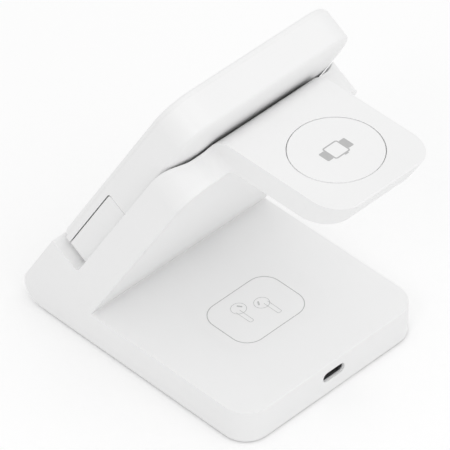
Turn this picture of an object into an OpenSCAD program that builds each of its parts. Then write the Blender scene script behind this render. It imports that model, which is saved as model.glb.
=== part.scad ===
// Three-place wireless charging stand: a one-piece leaning body with a phone panel hinged in
// front of it, a watch shelf above and an earbud dish on the base. Millimetres, +Z up, the
// phone side faces -Y and the power inlet faces +Y. The origin is under the middle of the
// stand, on the surface that it stands on.

/* [Base] */
// Width of the base and of the spine
base_w = 77; // [70:1:90]
// Length of the base top, from the crease under the spine to the rear face
base_d = 68; // [62:1:80]
// Height of the base side wall
base_h = 11.9; // [11.5:0.1:14]
// Radius of the rear corners of the base in plan
base_corner_r = 8.7; // [5:0.1:12]
// Radius of the nose under the front slope
nose_r = 7; // [5:0.1:8]
// Radius along the edges of the base top
edge_r = 0.5; // [0.3:0.1:0.8]
// Height of the rubber feet below the base
foot_lift = 0.6; // [0.4:0.1:1]
// Diameter of one foot
foot_d = 11; // [9:0.5:13]

/* [Spine] */
// Lean of the spine and the phone panel, from the horizontal
lean = 60; // [56:1:64]
// Thickness of the spine
spine_t = 12.1; // [11:0.1:14]
// Height of the shoulders, measured up the incline from the base top
shoulder_s = 92.8; // [88:0.1:96]
// Radius of the outer corners of the shoulders
shoulder_r = 10.8; // [6:0.1:13]
// Radius in the inner corners between the shoulders and the shelf
neck_r = 4.5; // [2:0.1:6]
// Radius along the front edge of the shoulders
shoulder_edge_r = 3; // [1:0.1:4]
// Height of the ledge in front of the panel, up the incline
ledge_s = 16.2; // [14:0.1:18]

/* [Shelf] */
// Width of the watch shelf
shelf_w = 43.2; // [40:0.1:52]
// Height of the shelf top above the underside of the base
shelf_z = 97.5; // [94:0.1:104]
// Thickness of the shelf
shelf_t = 9.2; // [8.6:0.1:11]
// Distance of the shelf's rear edge from the crease
shelf_y = 89.2; // [84:0.1:98]
// Radius of the shelf's rear corners
shelf_corner_r = 9.5; // [5:0.1:12]
// Radius where the shelf top turns down to the spine's front
shelf_bend_r = 6; // [3:0.1:8]
// Radius under the shelf, where it meets the spine
shelf_under_r = 3; // [1:0.1:5]
// Diameter of the watch disc
disc_d = 29.6; // [26:0.1:34]
// Distance of the disc's centre from the crease
disc_y = 67; // [64:0.1:70]
// Width of the groove around the disc
disc_gap = 0.25; // [0.15:0.05:0.4]

/* [Earbud dish] */
// Width of the dish
dish_w = 44; // [36:0.5:52]
// Length of the dish
dish_d = 33; // [28:0.5:42]
// Radius of the dish's corners
dish_r = 11; // [6:0.5:13]
// Depth of the dish
dish_depth = 0.9; // [0.4:0.1:1.2]
// Width of the dish's sloping rim
dish_rim = 5; // [2:0.5:7]

/* [Walls] */
// Wall thickness of the housing
wall = 2.2; // [1.8:0.1:2.6]
// Thickness of the covers
cover_t = 2; // [1.6:0.1:2.4]
// Gap between a cover and the wall around it
cover_gap = 0.1; // [0.05:0.05:0.2]

/* [Phone panel] */
// Length of the panel up the incline
panel_l = 93.3; // [88:0.1:100]
// Thickness of the panel's rear housing
panel_body_t = 10.5; // [10:0.1:12]
// Thickness of the panel's front plate
panel_front_t = 1.8; // [1.4:0.1:2.4]
// Step from the rear housing's outline in to the front plate's
panel_step = 0.4; // [0.2:0.1:0.8]
// Radius of the panel's upper corners
panel_r = 11.5; // [8:0.5:16]
// Radius of the panel's lower corners
panel_foot_r = 2.5; // [1:0.1:5]
// Gap between the panel and the spine at rest
panel_gap = 0.2; // [0.15:0.05:0.3]
// Clear height under the panel, above the ledge
slot_h = 6; // [5.8:0.1:7]

/* [Hinge] */
// Length of the hinge block up the incline
block_l = 37; // [30:0.5:42]
// Thickness of the hinge block
block_t = 7.2; // [6.6:0.1:8]
// Width of the groove between the block and the panel
groove_w = 0.6; // [0.4:0.1:1]
// Diameter of the hinge pin
pin_d = 2.5; // [2:0.1:2.8]
// Length of the block's knuckle
knuckle_w = 39; // [30:1:44]
// Thickness of each lug of the housing
lug_w = 6; // [4:0.5:8]
// Outer diameter of the knuckle and the lugs
knuckle_d = 5.2; // [4.8:0.1:5.4]
// Gap between the knuckle and a lug along the pin
knuckle_gap = 0.3; // [0.2:0.05:0.5]
// Radial clearance of the pin in the turning knuckle
pin_play = 0.05; // [0.02:0.01:0.08]
// Radial clearance of the pin in the housing's lugs
pin_fit = 0.02; // [0.01:0.01:0.05]

/* [Charging coils] */
// Outer diameter of the phone coil
phone_coil_d = 44; // [40:1:46]
// Inner diameter of the phone coil
phone_coil_hole = 21; // [16:1:24]
// Thickness of each coil
coil_t = 1.2; // [0.8:0.1:1.6]
// Thickness of each ferrite
ferrite_t = 0.8; // [0.6:0.1:1]
// Outer diameter of the magnet ring
ring_d = 55; // [52:0.5:56]
// Inner diameter of the magnet ring
ring_hole = 47; // [46.5:0.5:49]
// Centre of the phone coil, measured up the incline
coil_s = 83; // [81:0.5:85]
// Outer diameter of the earbud coil
bud_coil_d = 30; // [24:1:32]
// Outer diameter of the watch coil
watch_coil_d = 22; // [18:1:24]

/* [Power inlet] */
// Width of the inlet's opening
inlet_w = 9.4; // [9:0.1:10]
// Height of the inlet's opening
inlet_h = 3.6; // [3.3:0.1:4]
// Height of the inlet's centre above the underside of the base
inlet_z = 6.7; // [6.2:0.1:7]
// Length of the metal inlet shell
inlet_l = 7.4; // [6.5:0.1:9]

/* [Hidden] */
$fn = 96;
eps = 0.02;
cut = 1;
far = 200;
shell_col = "whitesmoke";
inner_col = "gainsboro";
copper_col = "peru";
ferrite_col = "dimgray";
steel_col = "silver";
board_col = "darkgreen";

cl = cos(lean);
sl = sin(lean);
// Where the spine's front plane meets the height of the base top
seam_y = -spine_t / sl;
panel_t = panel_body_t + panel_front_t + panel_gap;
panel_s = ledge_s + slot_h;
panel_top_s = panel_s + panel_l;
// Centre of the hinge pin, up the incline and out from the spine
pin_s = ledge_s + slot_h / 2;
pin_f = 4;
shelf_lo = shelf_z - shelf_t;
room_z = base_h - wall - dish_depth;

// A point of the side view, s up the incline and f out in front of the spine's front plane
function side(s, f) = [seam_y + s * cl - f * sl, base_h + s * sl + f * cl];
function unit(v) = v / norm(v);

// Corners of the side view that more than one shape needs
nose_corner = [side(0, panel_t)[0] - side(0, panel_t)[1] * cl / sl, 0];
shelf_front = side((shelf_z - base_h) / sl, 0);
under_corner = [(shelf_lo - base_h) * cl / sl, shelf_lo];
shelf_rear_lo = shelf_y - shelf_t * cl / sl;
nose_y = nose_corner[0] + nose_r * (1 + cl) / sl - nose_r;
rear_y = shelf_y - edge_r * (1 + cl) / sl + edge_r;
room_y = nose_y + nose_r;
// Lower end of the room in the spine, just above the crease
room_s = spine_t * cl / sl + 1.2;

// Point at height z on a line parallel to the incline, depth d in from the inner face
function inner_at(z, d) = side((z - base_h + (spine_t - d) * cl) / sl, d - spine_t);

// Fasteners, feet and the bosses that they go into
corner_x = 27;
corner_y0 = room_y + 9;
corner_y1 = base_d - wall - 11;
foot_sink = 0.6;
boss_d = 6;
pilot_d = 1.7;
screw_d = 2;
// Screws are drawn at the core of their thread, which fills the pilot hole
core_d = pilot_d - 0.04;
head_d = 3.8;
head_h = 1.4;
head_top = foot_sink + head_h;
boss_z = 3.2;

// Main board, power inlet and the flat lead
board_t = 1.2;
board_w = 48;
board_gap_h = inlet_h - 0.4;
board_z = inlet_z - board_gap_h / 2 - board_t;
board_y0 = base_d / 2 + bud_coil_d / 2 + 1.5;
board_y1 = base_d - wall - 0.8;
inlet_in = 0.8;
ballast_t = 1.6;
choke = [5.5, 5.5, 2.6];
chip = [5, 5, 0.9];
capacitor = [1.2, 2.4, 1.2];
part_gap = 1.5;
part_x = inlet_w / 2 + part_gap;
part_y = 2.5;
lead_w = 6;
lead_t = 0.3;
lead_low = board_z + board_t + 0.8;
lead_top = shelf_lo + cover_t + lead_t;

// Watch disc and what lies under it
disc_rim = 1;
disc_rim_t = 1.4;
watch_magnet_d = 9;
watch_stack_z = shelf_z - wall - coil_t - ferrite_t;

// Inside of the phone panel
plate_f = panel_gap + panel_body_t;
magnet_t = 1.6;
thin_wall = 0.7;
seam = 0.15;
notch_r = 1.2;
screw_seat = 4.4;
screw_inset = 8;
screw_end = plate_f - 0.6;
panel_post = 2.6;
panel_board_w = 50;
panel_board_s0 = panel_s + block_l + 6;
panel_board_s1 = panel_top_s - 8;

// Shape between a corner and the round that softens it, d1 and d2 pointing along its edges
module corner_round(c, d1, d2, r) {
    a = unit(d1);
    b = unit(d2);
    half = acos(a * b) / 2;
    mid = c + unit(a + b) * r / sin(half);
    reach = r / tan(half);
    difference() {
        polygon([c + a * reach, c + (c - mid) * 0.2, c + b * reach, mid]);
        translate(mid) circle(r);
    }
}

// Rectangle centred on x, from y0 to y1, with its own radius at the low and the high corners
module plate2d(w, y0, y1, r0, r1) {
    hull() {
        for (k = [-1, 1]) {
            translate([k * (w / 2 - r0), y0 + r0]) circle(r0);
            translate([k * (w / 2 - r1), y1 - r1]) circle(r1);
        }
    }
}

// The same plate from exact circles and polygons
module plate(w, y0, y1, r0, r1) {
    difference() {
        translate([-w / 2, y0]) square([w, y1 - y0]);
        for (k = [-1, 1]) {
            corner_round([k * w / 2, y0], [-k, 0], [0, 1], r0);
            corner_round([k * w / 2, y1], [-k, 0], [0, -1], r1);
        }
    }
}

module on_floor() {
    translate([0, -(nose_y + rear_y) / 2, foot_lift]) children();
}

// Draws a side view, y across and z up, as a solid of width w centred on x
module across(w) {
    rotate([90, 0, 90]) translate([0, 0, -w / 2]) linear_extrude(w) children();
}

// Local frame of the panel: x across, y up the incline, z out from the spine's front plane
module on_spine() {
    translate([0, seam_y, base_h]) rotate([lean, 0, 0]) children();
}

// Side view of the whole body
module body_side() {
    difference() {
        union() {
            polygon([nose_corner, side(ledge_s, panel_t), side(ledge_s, 0), shelf_front,
                     [shelf_y, shelf_z], [shelf_rear_lo, shelf_lo], under_corner,
                     [0, base_h], [base_d, base_h], [base_d, 0]]);
            corner_round(under_corner, [1, 0], [-cl, -sl], shelf_under_r);
            corner_round(side(ledge_s, 0), [cl, sl], [-sl, cl], 1.5);
        }
        corner_round(nose_corner, [1, 0], [cl, sl], nose_r);
        corner_round(shelf_front, [1, 0], [-cl, -sl], shelf_bend_r);
        corner_round([base_d, base_h], [-1, 0], [0, -1], edge_r);
        corner_round([shelf_y, shelf_z], [-1, 0], [-cl, -sl], edge_r);
        corner_round(side(ledge_s, panel_t), [sl, -cl], [-cl, -sl], edge_r);
    }
}

// What is cut away beside the shelf, above one shoulder, in the panel's frame
module beside_shelf() {
    x0 = shelf_w / 2;
    x1 = base_w / 2;
    difference() {
        union() {
            translate([x0, shoulder_s]) square([far, far]);
            corner_round([x1, shoulder_s], [-1, 0], [0, -1], shoulder_r);
        }
        corner_round([x0, shoulder_s], [1, 0], [0, 1], neck_r);
    }
}

// Round along the straight front edge of one shoulder
module shoulder_edge() {
    x0 = shelf_w / 2;
    x1 = base_w / 2 - shoulder_r;
    translate([x0, 0, 0]) rotate([90, 0, 90]) linear_extrude(x1 - x0)
        corner_round([shoulder_s, 0], [-1, 0], [0, -1], shoulder_edge_r);
    translate([x1, shoulder_s - shoulder_r, 0]) rotate_extrude(angle = 90)
        corner_round([shoulder_r, 0], [-1, 0], [0, -1], shoulder_edge_r);
}

module dish() {
    translate([0, base_d / 2, base_h]) hull() {
        translate([0, 0, 0.2]) linear_extrude(0.2)
            plate2d(dish_w, -dish_d / 2, dish_d / 2, dish_r, dish_r, $fn = 32);
        translate([0, 0, -dish_depth]) linear_extrude(0.01)
            plate2d(dish_w - 2 * dish_rim, dish_rim - dish_d / 2, dish_d / 2 - dish_rim,
                    dish_r - dish_rim, dish_r - dish_rim, $fn = 32);
    }
}

// What the rear corners of the shelf lose, at a distance gap in from its faces
module shelf_corners(gap) {
    rotate([lean - 90, 0, 0])
        translate([0, (shelf_y - gap) * sl - shelf_z * cl, shelf_z * sl]) linear_extrude(far)
        for (k = [-1, 1]) corner_round([k * (shelf_w / 2 - gap), 0], [-k, 0], [0, -1],
                                       shelf_corner_r - gap);
}

module body_outer() {
    difference() {
        across(base_w) body_side();
        translate([0, 0, -cut]) linear_extrude(base_h + 2 * cut)
            for (k = [-1, 1]) corner_round([k * base_w / 2, base_d], [-k, 0], [0, -1],
                                           base_corner_r);
        on_spine() for (k = [0, 1]) mirror([k, 0, 0]) {
            translate([0, 0, -far]) linear_extrude(2 * far) beside_shelf();
            shoulder_edge();
        }
        shelf_corners(0);
        dish();
    }
}

// Room inside the base, open at the underside
module base_room(gap, z0, z1) {
    translate([0, 0, z0]) linear_extrude(z1 - z0)
        plate(base_w - 2 * (wall + gap), room_y + gap, base_d - wall - gap,
              2, base_corner_r - wall - gap);
}

// Outline of the room in the spine and on into the shelf, in the panel's frame
module spine_room2d(gap) {
    top = shoulder_s - wall - gap;
    plate(base_w - 2 * (wall + gap), room_s + gap, top, 1, shoulder_r - wall - gap);
    translate([-(shelf_w / 2 - wall - gap), top - shoulder_r])
        square([shelf_w - 2 * (wall + gap), shoulder_r + far]);
}

// Side view of a layer behind the inner face of the spine and the underside of the shelf,
// which stands out of those faces by out
module layer_side(in_spine, in_shelf, gap, out) {
    polygon([side(-2 * wall, -spine_t - out), side(-2 * wall, in_spine - spine_t),
             inner_at(shelf_lo + in_shelf, in_spine),
             [shelf_rear_lo - wall - gap + in_shelf * cl / sl, shelf_lo + in_shelf],
             [shelf_rear_lo - wall - gap - out * cl / sl, shelf_lo - out],
             inner_at(shelf_lo - out, -out)]);
}

module spine_layer(in_spine, in_shelf, gap, out) {
    difference() {
        intersection() {
            union() {
                across(base_w) layer_side(in_spine, in_shelf, gap, out);
                across(base_w) corner_round(under_corner, [1, 0], [-cl, -sl], shelf_under_r);
            }
            on_spine() translate([0, 0, -far]) linear_extrude(2 * far) spine_room2d(gap);
        }
        shelf_corners(wall + gap);
    }
}

// Where the screws and the feet go, one in each corner of the base
module at_corners() {
    for (k = [-1, 1]) for (y = [corner_y0, corner_y1]) translate([k * corner_x, y, 0])
        children();
}

module at_watch(z) {
    translate([0, disc_y, z]) children();
}

module ring(outer, inner, h) {
    difference() {
        cylinder(d = outer, h = h);
        translate([0, 0, -cut]) cylinder(d = inner, h = h + 2 * cut);
    }
}

// Stadium-shaped opening, w wide and h high, drawn standing on the rear face
module inlet2d(w, h) {
    for (k = [-1, 1]) translate([k * (w - h) / 2, 0]) circle(d = h);
    square([w - h, h], center = true);
}

module along_inlet(y0, y1) {
    translate([0, y1, inlet_z]) rotate([90, 0, 0]) linear_extrude(y1 - y0) children();
}

// One eye of the hinge, its foot reaching from the pin to height foot_s
module eye(x0, x1, foot_s, bore) {
    translate([x0, 0, 0]) rotate([90, 0, 90]) linear_extrude(x1 - x0) difference() {
        union() {
            translate([pin_s, pin_f]) circle(d = knuckle_d);
            translate([min(pin_s, foot_s), pin_f - knuckle_d / 2])
                square([abs(foot_s - pin_s), knuckle_d]);
        }
        translate([pin_s, pin_f]) circle(d = bore);
    }
}

module main_housing() {
    color(shell_col) on_floor() {
        difference() {
            body_outer();
            base_room(0, -cut, room_z);
            spine_layer(spine_t - wall, shelf_t - wall, 0, cut);
            // Way for the lead between the two rooms
            on_spine() translate([-lead_w, -wall, -spine_t + cover_t])
                cube([2 * lead_w, room_s + 2 * wall, spine_t - wall - cover_t]);
            at_watch(shelf_z - wall - cut) cylinder(d = disc_d - 2 * disc_rim, h = far);
            at_watch(shelf_z - disc_rim_t) cylinder(d = disc_d + 2 * disc_gap, h = far);
            along_inlet(base_d - 2 * wall, base_d + cut) inlet2d(inlet_w, inlet_h);
        }
        difference() {
            at_corners() translate([0, 0, boss_z]) cylinder(d = boss_d, h = room_z + eps - boss_z);
            at_corners() cylinder(d = pilot_d, h = room_z - 1);
        }
        on_spine() for (k = [0, 1]) mirror([k, 0, 0])
            eye(knuckle_w / 2 + knuckle_gap, knuckle_w / 2 + knuckle_gap + lug_w,
                ledge_s - eps, pin_d + 2 * pin_fit);
    }
}

module spine_cover() {
    color(shell_col) on_floor() spine_layer(cover_t, cover_t, cover_gap, 0);
}

module bottom_cover() {
    color(inner_col) on_floor() difference() {
        union() {
            base_room(cover_gap, 0, cover_t);
            at_corners() cylinder(d = boss_d, h = boss_z);
            for (k = [-1, 1]) for (y = [board_y0 + 3, board_y1 - 3])
                translate([k * (board_w / 2 - 3), y, 0]) cylinder(d = 4, h = board_z);
        }
        at_corners() {
            translate([0, 0, -cut]) cylinder(d = foot_d + 0.2, h = cut + foot_sink);
            cylinder(d = head_d + 0.3, h = head_top);
            cylinder(d = screw_d + 0.3, h = far);
        }
    }
}

module rubber_feet() {
    color("dimgray") on_floor() at_corners() translate([0, 0, -foot_lift])
        rotate_extrude() difference() {
            square([foot_d / 2, foot_lift + foot_sink]);
            corner_round([foot_d / 2, 0], [-1, 0], [0, 1], foot_lift / 2);
        }
}

module bottom_screws() {
    color(steel_col) on_floor() at_corners() difference() {
        union() {
            translate([0, 0, foot_sink]) cylinder(d = head_d, h = head_top - foot_sink);
            translate([0, 0, foot_sink]) cylinder(d = core_d, h = room_z - 2 - foot_sink);
        }
        translate([0, 0, foot_sink - cut]) cylinder(d = 1.6, h = cut + 0.6, $fn = 6);
    }
}

// Steel plate that lies on the bottom cover, open where the screw bosses stand
module ballast_plate() {
    color(steel_col) on_floor() difference() {
        translate([0, 0, cover_t]) linear_extrude(ballast_t)
            plate(base_w - 2 * wall - 4, room_y + 2, board_y0 - 2, 3, 3);
        at_corners() cylinder(d = boss_d + 1, h = far);
    }
}

module main_board() {
    color(board_col) on_floor() translate([0, 0, board_z]) linear_extrude(board_t)
        plate(board_w, board_y0, board_y1, 1, 1);
}

// Chokes, chips and capacitors that stand on the main board
module board_parts() {
    on_floor() translate([0, board_y0 + part_y, board_z + board_t]) {
        color("dimgray") for (k = [1, 2])
            translate([part_gap - part_x - k * (choke[0] + part_gap), 0, 0]) cube(choke);
        color("black") for (k = [0, 1])
            translate([part_x + k * (chip[0] + part_gap), 0, 0]) cube(chip);
        color("tan") for (k = [0, 1])
            translate([part_x + 2 * (chip[0] + part_gap) + k * (capacitor[0] + part_gap / 2), 0, 0])
                cube(capacitor);
    }
}

module inlet_shell() {
    color(steel_col) on_floor() along_inlet(base_d - inlet_l - inlet_in, base_d - inlet_in)
        difference() {
            inlet2d(inlet_w - 0.3, board_gap_h);
            inlet2d(inlet_w - 0.3 - 0.6, board_gap_h - 0.6);
        }
}

// Insulator with the contact tongue, which fills the rear of the shell
module inlet_tongue() {
    color("black") on_floor() {
        along_inlet(base_d - inlet_l - inlet_in, base_d - inlet_l - inlet_in + 1.6)
            inlet2d(inlet_w - 0.3 - 0.6, board_gap_h - 0.6);
        along_inlet(base_d - inlet_l - inlet_in + 1.5, base_d - inlet_in - 0.8)
            square([6.2, 0.7], center = true);
    }
}

module earbud_coil() {
    color(copper_col) on_floor() translate([0, base_d / 2, room_z - coil_t])
        ring(bud_coil_d, bud_coil_d / 2.4, coil_t);
}

module earbud_ferrite() {
    color(ferrite_col) on_floor() translate([0, base_d / 2, room_z - coil_t - ferrite_t])
        cylinder(d = bud_coil_d + 1, h = ferrite_t);
}

module watch_disc() {
    color(shell_col) on_floor() at_watch(0) {
        translate([0, 0, shelf_z - disc_rim_t]) rotate_extrude() difference() {
            square([disc_d / 2, disc_rim_t]);
            corner_round([disc_d / 2, disc_rim_t], [-1, 0], [0, -1], disc_gap);
        }
        translate([0, 0, shelf_z - wall])
            cylinder(d = disc_d - 2 * disc_rim - 2 * cover_gap, h = wall - disc_rim_t + eps);
    }
}

module watch_coil() {
    color(copper_col) on_floor() at_watch(shelf_z - wall - coil_t)
        ring(watch_coil_d, watch_magnet_d + 2, coil_t);
}

module watch_magnet() {
    color(steel_col) on_floor() at_watch(shelf_z - wall - coil_t)
        cylinder(d = watch_magnet_d, h = coil_t);
}

module watch_ferrite() {
    color(ferrite_col) on_floor() at_watch(watch_stack_z) cylinder(d = watch_coil_d + 1,
                                                                 h = ferrite_t);
}

// Board under the watch coil, with the plug that the flat lead goes into
module watch_board() {
    color(board_col) on_floor() {
        at_watch(watch_stack_z - board_t) cylinder(d = watch_coil_d - 2, h = board_t);
        translate([-lead_w / 2 - 1, disc_y - 8, lead_top])
            cube([lead_w + 2, 3, watch_stack_z - board_t + eps - lead_top]);
    }
}

// Flat lead from the main board, up the spine and along the shelf to the watch board
module watch_flex() {
    end_y = board_y0 + 2;
    end_z = board_z + board_t;
    shelf_end = disc_y - 5;
    bed = shelf_lo + cover_t;
    color("chocolate") on_floor() across(lead_w)
        polygon([[end_y - 1.6, lead_low], inner_at(lead_low, cover_t + lead_t),
                 inner_at(bed + lead_t, cover_t + lead_t), [shelf_end, bed + lead_t],
                 [shelf_end, bed], inner_at(bed, cover_t),
                 inner_at(lead_low + lead_t, cover_t), [end_y, lead_low + lead_t],
                 [end_y, end_z], [end_y - 1.6, end_z]]);
}

module hinge_pin() {
    reach = knuckle_w / 2 + knuckle_gap + lug_w - 0.5;
    color(steel_col) on_floor() on_spine() translate([-reach, pin_s, pin_f])
        rotate([0, 90, 0]) cylinder(d = pin_d, h = 2 * reach);
}

// Block let into the back of the panel's foot, with the turning eye under it
module hinge_block() {
    z0 = panel_gap;
    z1 = panel_gap + block_t;
    s1 = panel_s + block_l;
    color(shell_col) on_floor() on_spine() difference() {
        union() {
            rotate([90, 0, 90]) translate([0, 0, -base_w / 2]) linear_extrude(base_w)
                difference() {
                    translate([panel_s, z0]) square([block_l, block_t]);
                    corner_round([s1, z0], [-1, 0], [0, 1], notch_r);
                    corner_round([s1, z1], [-1, 0], [0, -1], notch_r);
                    corner_round([panel_s, z0], [1, 0], [0, 1], edge_r);
                }
            eye(-knuckle_w / 2, knuckle_w / 2, panel_s + eps, pin_d + 2 * pin_play);
        }
        at_panel_screws() {
            translate([0, 0, -cut]) cylinder(d = head_d + 0.3, h = cut + screw_seat);
            cylinder(d = screw_d + 0.3, h = far);
        }
    }
}

module at_panel_screws() {
    for (k = [-1, 1]) for (s = [panel_s + screw_inset, panel_s + block_l - screw_inset])
        translate([k * corner_x, s, 0]) children();
}

module panel_screws() {
    color(steel_col) on_floor() on_spine() at_panel_screws() difference() {
        union() {
            translate([0, 0, screw_seat - head_h]) cylinder(d = head_d, h = head_h);
            translate([0, 0, screw_seat - head_h])
                cylinder(d = core_d, h = screw_end - screw_seat + head_h);
        }
        translate([0, 0, screw_seat - head_h - cut]) cylinder(d = 1.6, h = cut + 0.6, $fn = 6);
    }
}

module panel_housing() {
    z1 = panel_gap + panel_body_t;
    pocket_s = panel_s + block_l + seam;
    pocket_z = panel_gap + block_t + groove_w;
    room_w = base_w - 2 * wall;
    color(shell_col) on_floor() on_spine() {
        difference() {
            translate([0, 0, panel_gap]) linear_extrude(panel_body_t)
                plate(base_w, panel_s, panel_top_s, panel_foot_r, panel_r);
            // Pocket for the hinge block, open at both sides
            rotate([90, 0, 90]) translate([0, 0, -far]) linear_extrude(2 * far) {
                difference() {
                    translate([0, -cut]) square([pocket_s, pocket_z + cut]);
                    corner_round([pocket_s, pocket_z], [-1, 0], [0, -1], notch_r);
                }
                corner_round([pocket_s, panel_gap], [1, 0], [0, 1], notch_r);
            }
            translate([0, 0, panel_gap + wall]) linear_extrude(far)
                plate(room_w, pocket_s + wall, panel_top_s - wall, 2, panel_r - wall);
            translate([0, 0, pocket_z + thin_wall]) linear_extrude(far)
                plate(room_w, panel_s + wall, panel_top_s - wall, 2, panel_r - wall);
            at_panel_screws() cylinder(d = pilot_d, h = screw_end + 0.2);
        }
        // Pads that carry the block across the groove, round its screws
        difference() {
            at_panel_screws() translate([0, 0, pocket_z - groove_w])
                cylinder(d = boss_d, h = z1 - pocket_z + groove_w);
            at_panel_screws() cylinder(d = pilot_d, h = screw_end + 0.2);
        }
        for (k = [-1, 1]) for (s = [panel_board_s0 + 3, panel_board_s1 - 3])
            translate([k * (panel_board_w / 2 - 3), s, panel_gap + wall - eps])
                cylinder(d = 4, h = panel_post + eps);
    }
}

// Front plate with a rounded rim, stepped in from the housing's outline
module panel_front() {
    w = base_w - 2 * panel_step;
    rim = panel_front_t * 0.9;
    color(shell_col) on_floor() on_spine() translate([0, 0, panel_gap + panel_body_t]) hull()
        for (a = [0 : 15 : 90]) {
            inset = rim * (1 - cos(a));
            translate([0, 0, a == 0 ? 0 : panel_front_t - rim + rim * sin(a) - 0.01])
                linear_extrude(a == 0 ? panel_front_t - rim : 0.01)
                plate2d(w - 2 * inset, panel_s + panel_step + inset,
                        panel_top_s - panel_step - inset,
                        panel_foot_r - panel_step - inset * 0.5,
                        panel_r - panel_step - inset, $fn = 32);
        }
}

module at_coil(f) {
    translate([0, coil_s, f]) children();
}

module phone_coil() {
    color(copper_col) on_floor() on_spine() at_coil(plate_f - coil_t)
        ring(phone_coil_d, phone_coil_hole, coil_t);
}

module phone_ferrite() {
    color(ferrite_col) on_floor() on_spine() at_coil(plate_f - coil_t - ferrite_t)
        cylinder(d = phone_coil_d + 1, h = ferrite_t);
}

// Ring of magnets that holds a phone on the plate, with a gap at its foot for the leads
module magnet_ring() {
    color(steel_col) on_floor() on_spine() at_coil(plate_f - magnet_t) difference() {
        ring(ring_d, ring_hole, magnet_t);
        translate([-3, -ring_d, -cut]) cube([6, ring_d, magnet_t + 2 * cut]);
    }
}

module panel_board() {
    color(board_col) on_floor() on_spine()
        translate([0, 0, panel_gap + wall + panel_post]) {
            linear_extrude(board_t) plate(panel_board_w, panel_board_s0, panel_board_s1, 1, 1);
            translate([-8, panel_board_s0 + 6, board_t - eps]) cube([5, 5, 0.9]);
            translate([4, panel_board_s0 + 5, board_t - eps]) cube([6, 6, 1.6]);
        }
}

main_housing();
spine_cover();
bottom_cover();
rubber_feet();
ballast_plate();
main_board();
board_parts();
inlet_shell();
inlet_tongue();
bottom_screws();
earbud_ferrite();
earbud_coil();
watch_disc();
watch_coil();
watch_ferrite();
watch_magnet();
watch_board();
watch_flex();
hinge_pin();
hinge_block();
panel_housing();
panel_front();
phone_coil();
phone_ferrite();
magnet_ring();
panel_board();
panel_screws();
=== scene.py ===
# %% [markdown]
# # A leaning wireless charging stand
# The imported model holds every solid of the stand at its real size. This script gives those solids
# the finish of the real ones. It also puts softer forms in the place of some outer ones, and adds
# printed signs. All places are in metres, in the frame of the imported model: +X across the stand, +Y
# towards the rear face with the power inlet, +Z up from the surface that it stands on.
# %% Load the frame
import math

import bmesh
import bpy
from mathutils import Matrix, Vector


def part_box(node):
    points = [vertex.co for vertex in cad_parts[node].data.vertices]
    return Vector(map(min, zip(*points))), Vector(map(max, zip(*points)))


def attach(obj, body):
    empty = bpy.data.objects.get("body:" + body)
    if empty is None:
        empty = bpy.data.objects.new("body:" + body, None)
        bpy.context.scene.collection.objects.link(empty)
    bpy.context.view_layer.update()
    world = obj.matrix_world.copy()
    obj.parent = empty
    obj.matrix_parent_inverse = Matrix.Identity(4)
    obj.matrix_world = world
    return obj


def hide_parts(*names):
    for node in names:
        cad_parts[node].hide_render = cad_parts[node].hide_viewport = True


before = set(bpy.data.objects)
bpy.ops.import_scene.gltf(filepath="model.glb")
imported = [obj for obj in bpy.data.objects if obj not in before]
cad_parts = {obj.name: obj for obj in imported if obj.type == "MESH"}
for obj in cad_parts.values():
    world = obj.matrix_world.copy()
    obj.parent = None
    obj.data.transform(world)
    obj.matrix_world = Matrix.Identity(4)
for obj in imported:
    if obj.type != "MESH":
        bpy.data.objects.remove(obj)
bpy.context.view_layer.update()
scene = bpy.context.scene
MM = 0.001

# %% [markdown]
# ## The camera
# The stand is seen from behind and above through a very long lens, so parallel edges stay nearly
# parallel. A camera can be dragged into place by eye, or set by numbers. Numbers are used here,
# because the view has to agree with the solids: a direction, a distance and the point looked at.
# %% Camera
LENS = 430.0
SENSOR = 36.0
AZIMUTH = 134.913
ELEVATION = 41.961
ROLL = 0.104
DISTANCE = 1.66628
LOOK_AT = Vector((-0.00226, -0.01121, 0.03542))
CLIP_NEAR = 0.05
CLIP_FAR = 20.0


def camera_axes(azimuth, elevation, roll):
    """The camera's own right, up and back directions, from angles in degrees."""
    az, el, ro = (math.radians(a) for a in (azimuth, elevation, roll))
    back = Vector((math.sin(az) * math.cos(el), -math.cos(az) * math.cos(el), math.sin(el)))
    right = Vector((math.cos(az), math.sin(az), 0.0))
    up = back.cross(right)
    turned_right = right * math.cos(ro) + up * math.sin(ro)
    turned_up = up * math.cos(ro) - right * math.sin(ro)
    return turned_right, turned_up, back


right, up, back = camera_axes(AZIMUTH, ELEVATION, ROLL)
camera_data = bpy.data.cameras.new("camera")
camera_data.lens = LENS
camera_data.sensor_width = SENSOR
camera_data.clip_start = CLIP_NEAR
camera_data.clip_end = CLIP_FAR
camera = bpy.data.objects.new("camera", camera_data)
scene.collection.objects.link(camera)
turn = Matrix((right, up, back)).transposed().to_4x4()
camera.matrix_world = Matrix.Translation(LOOK_AT + back * DISTANCE) @ turn
scene.camera = camera
print("camera at", [round(v, 3) for v in camera.matrix_world.translation])

# %% [markdown]
# ## The light
# The stand is lit like a product on a white table: light comes from everywhere, so no face is dark
# and shadows are faint. That could be many large lamps, but one even world does the same with less
# noise. A wide lamp overhead then makes the upper faces brighter than the walls, a smaller one to the
# side is what the rounded shoulders mirror as a soft streak, and one behind fills the open bay.
# %% World and lamps
WORLD_STRENGTH = 0.8
TOP_POWER = 3.3
TOP_WIDTH = 1.4
TOP_PLACE = Vector((-0.1, 0.5, 1.45))
STREAK_POWER = 0.9
STREAK_WIDTH = 0.35
STREAK_PLACE = Vector((1.0, 0.4, 1.05))
FILL_POWER = 1.0
FILL_WIDTH = 1.2
FILL_PLACE = Vector((0.3, 1.5, 0.8))

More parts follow.
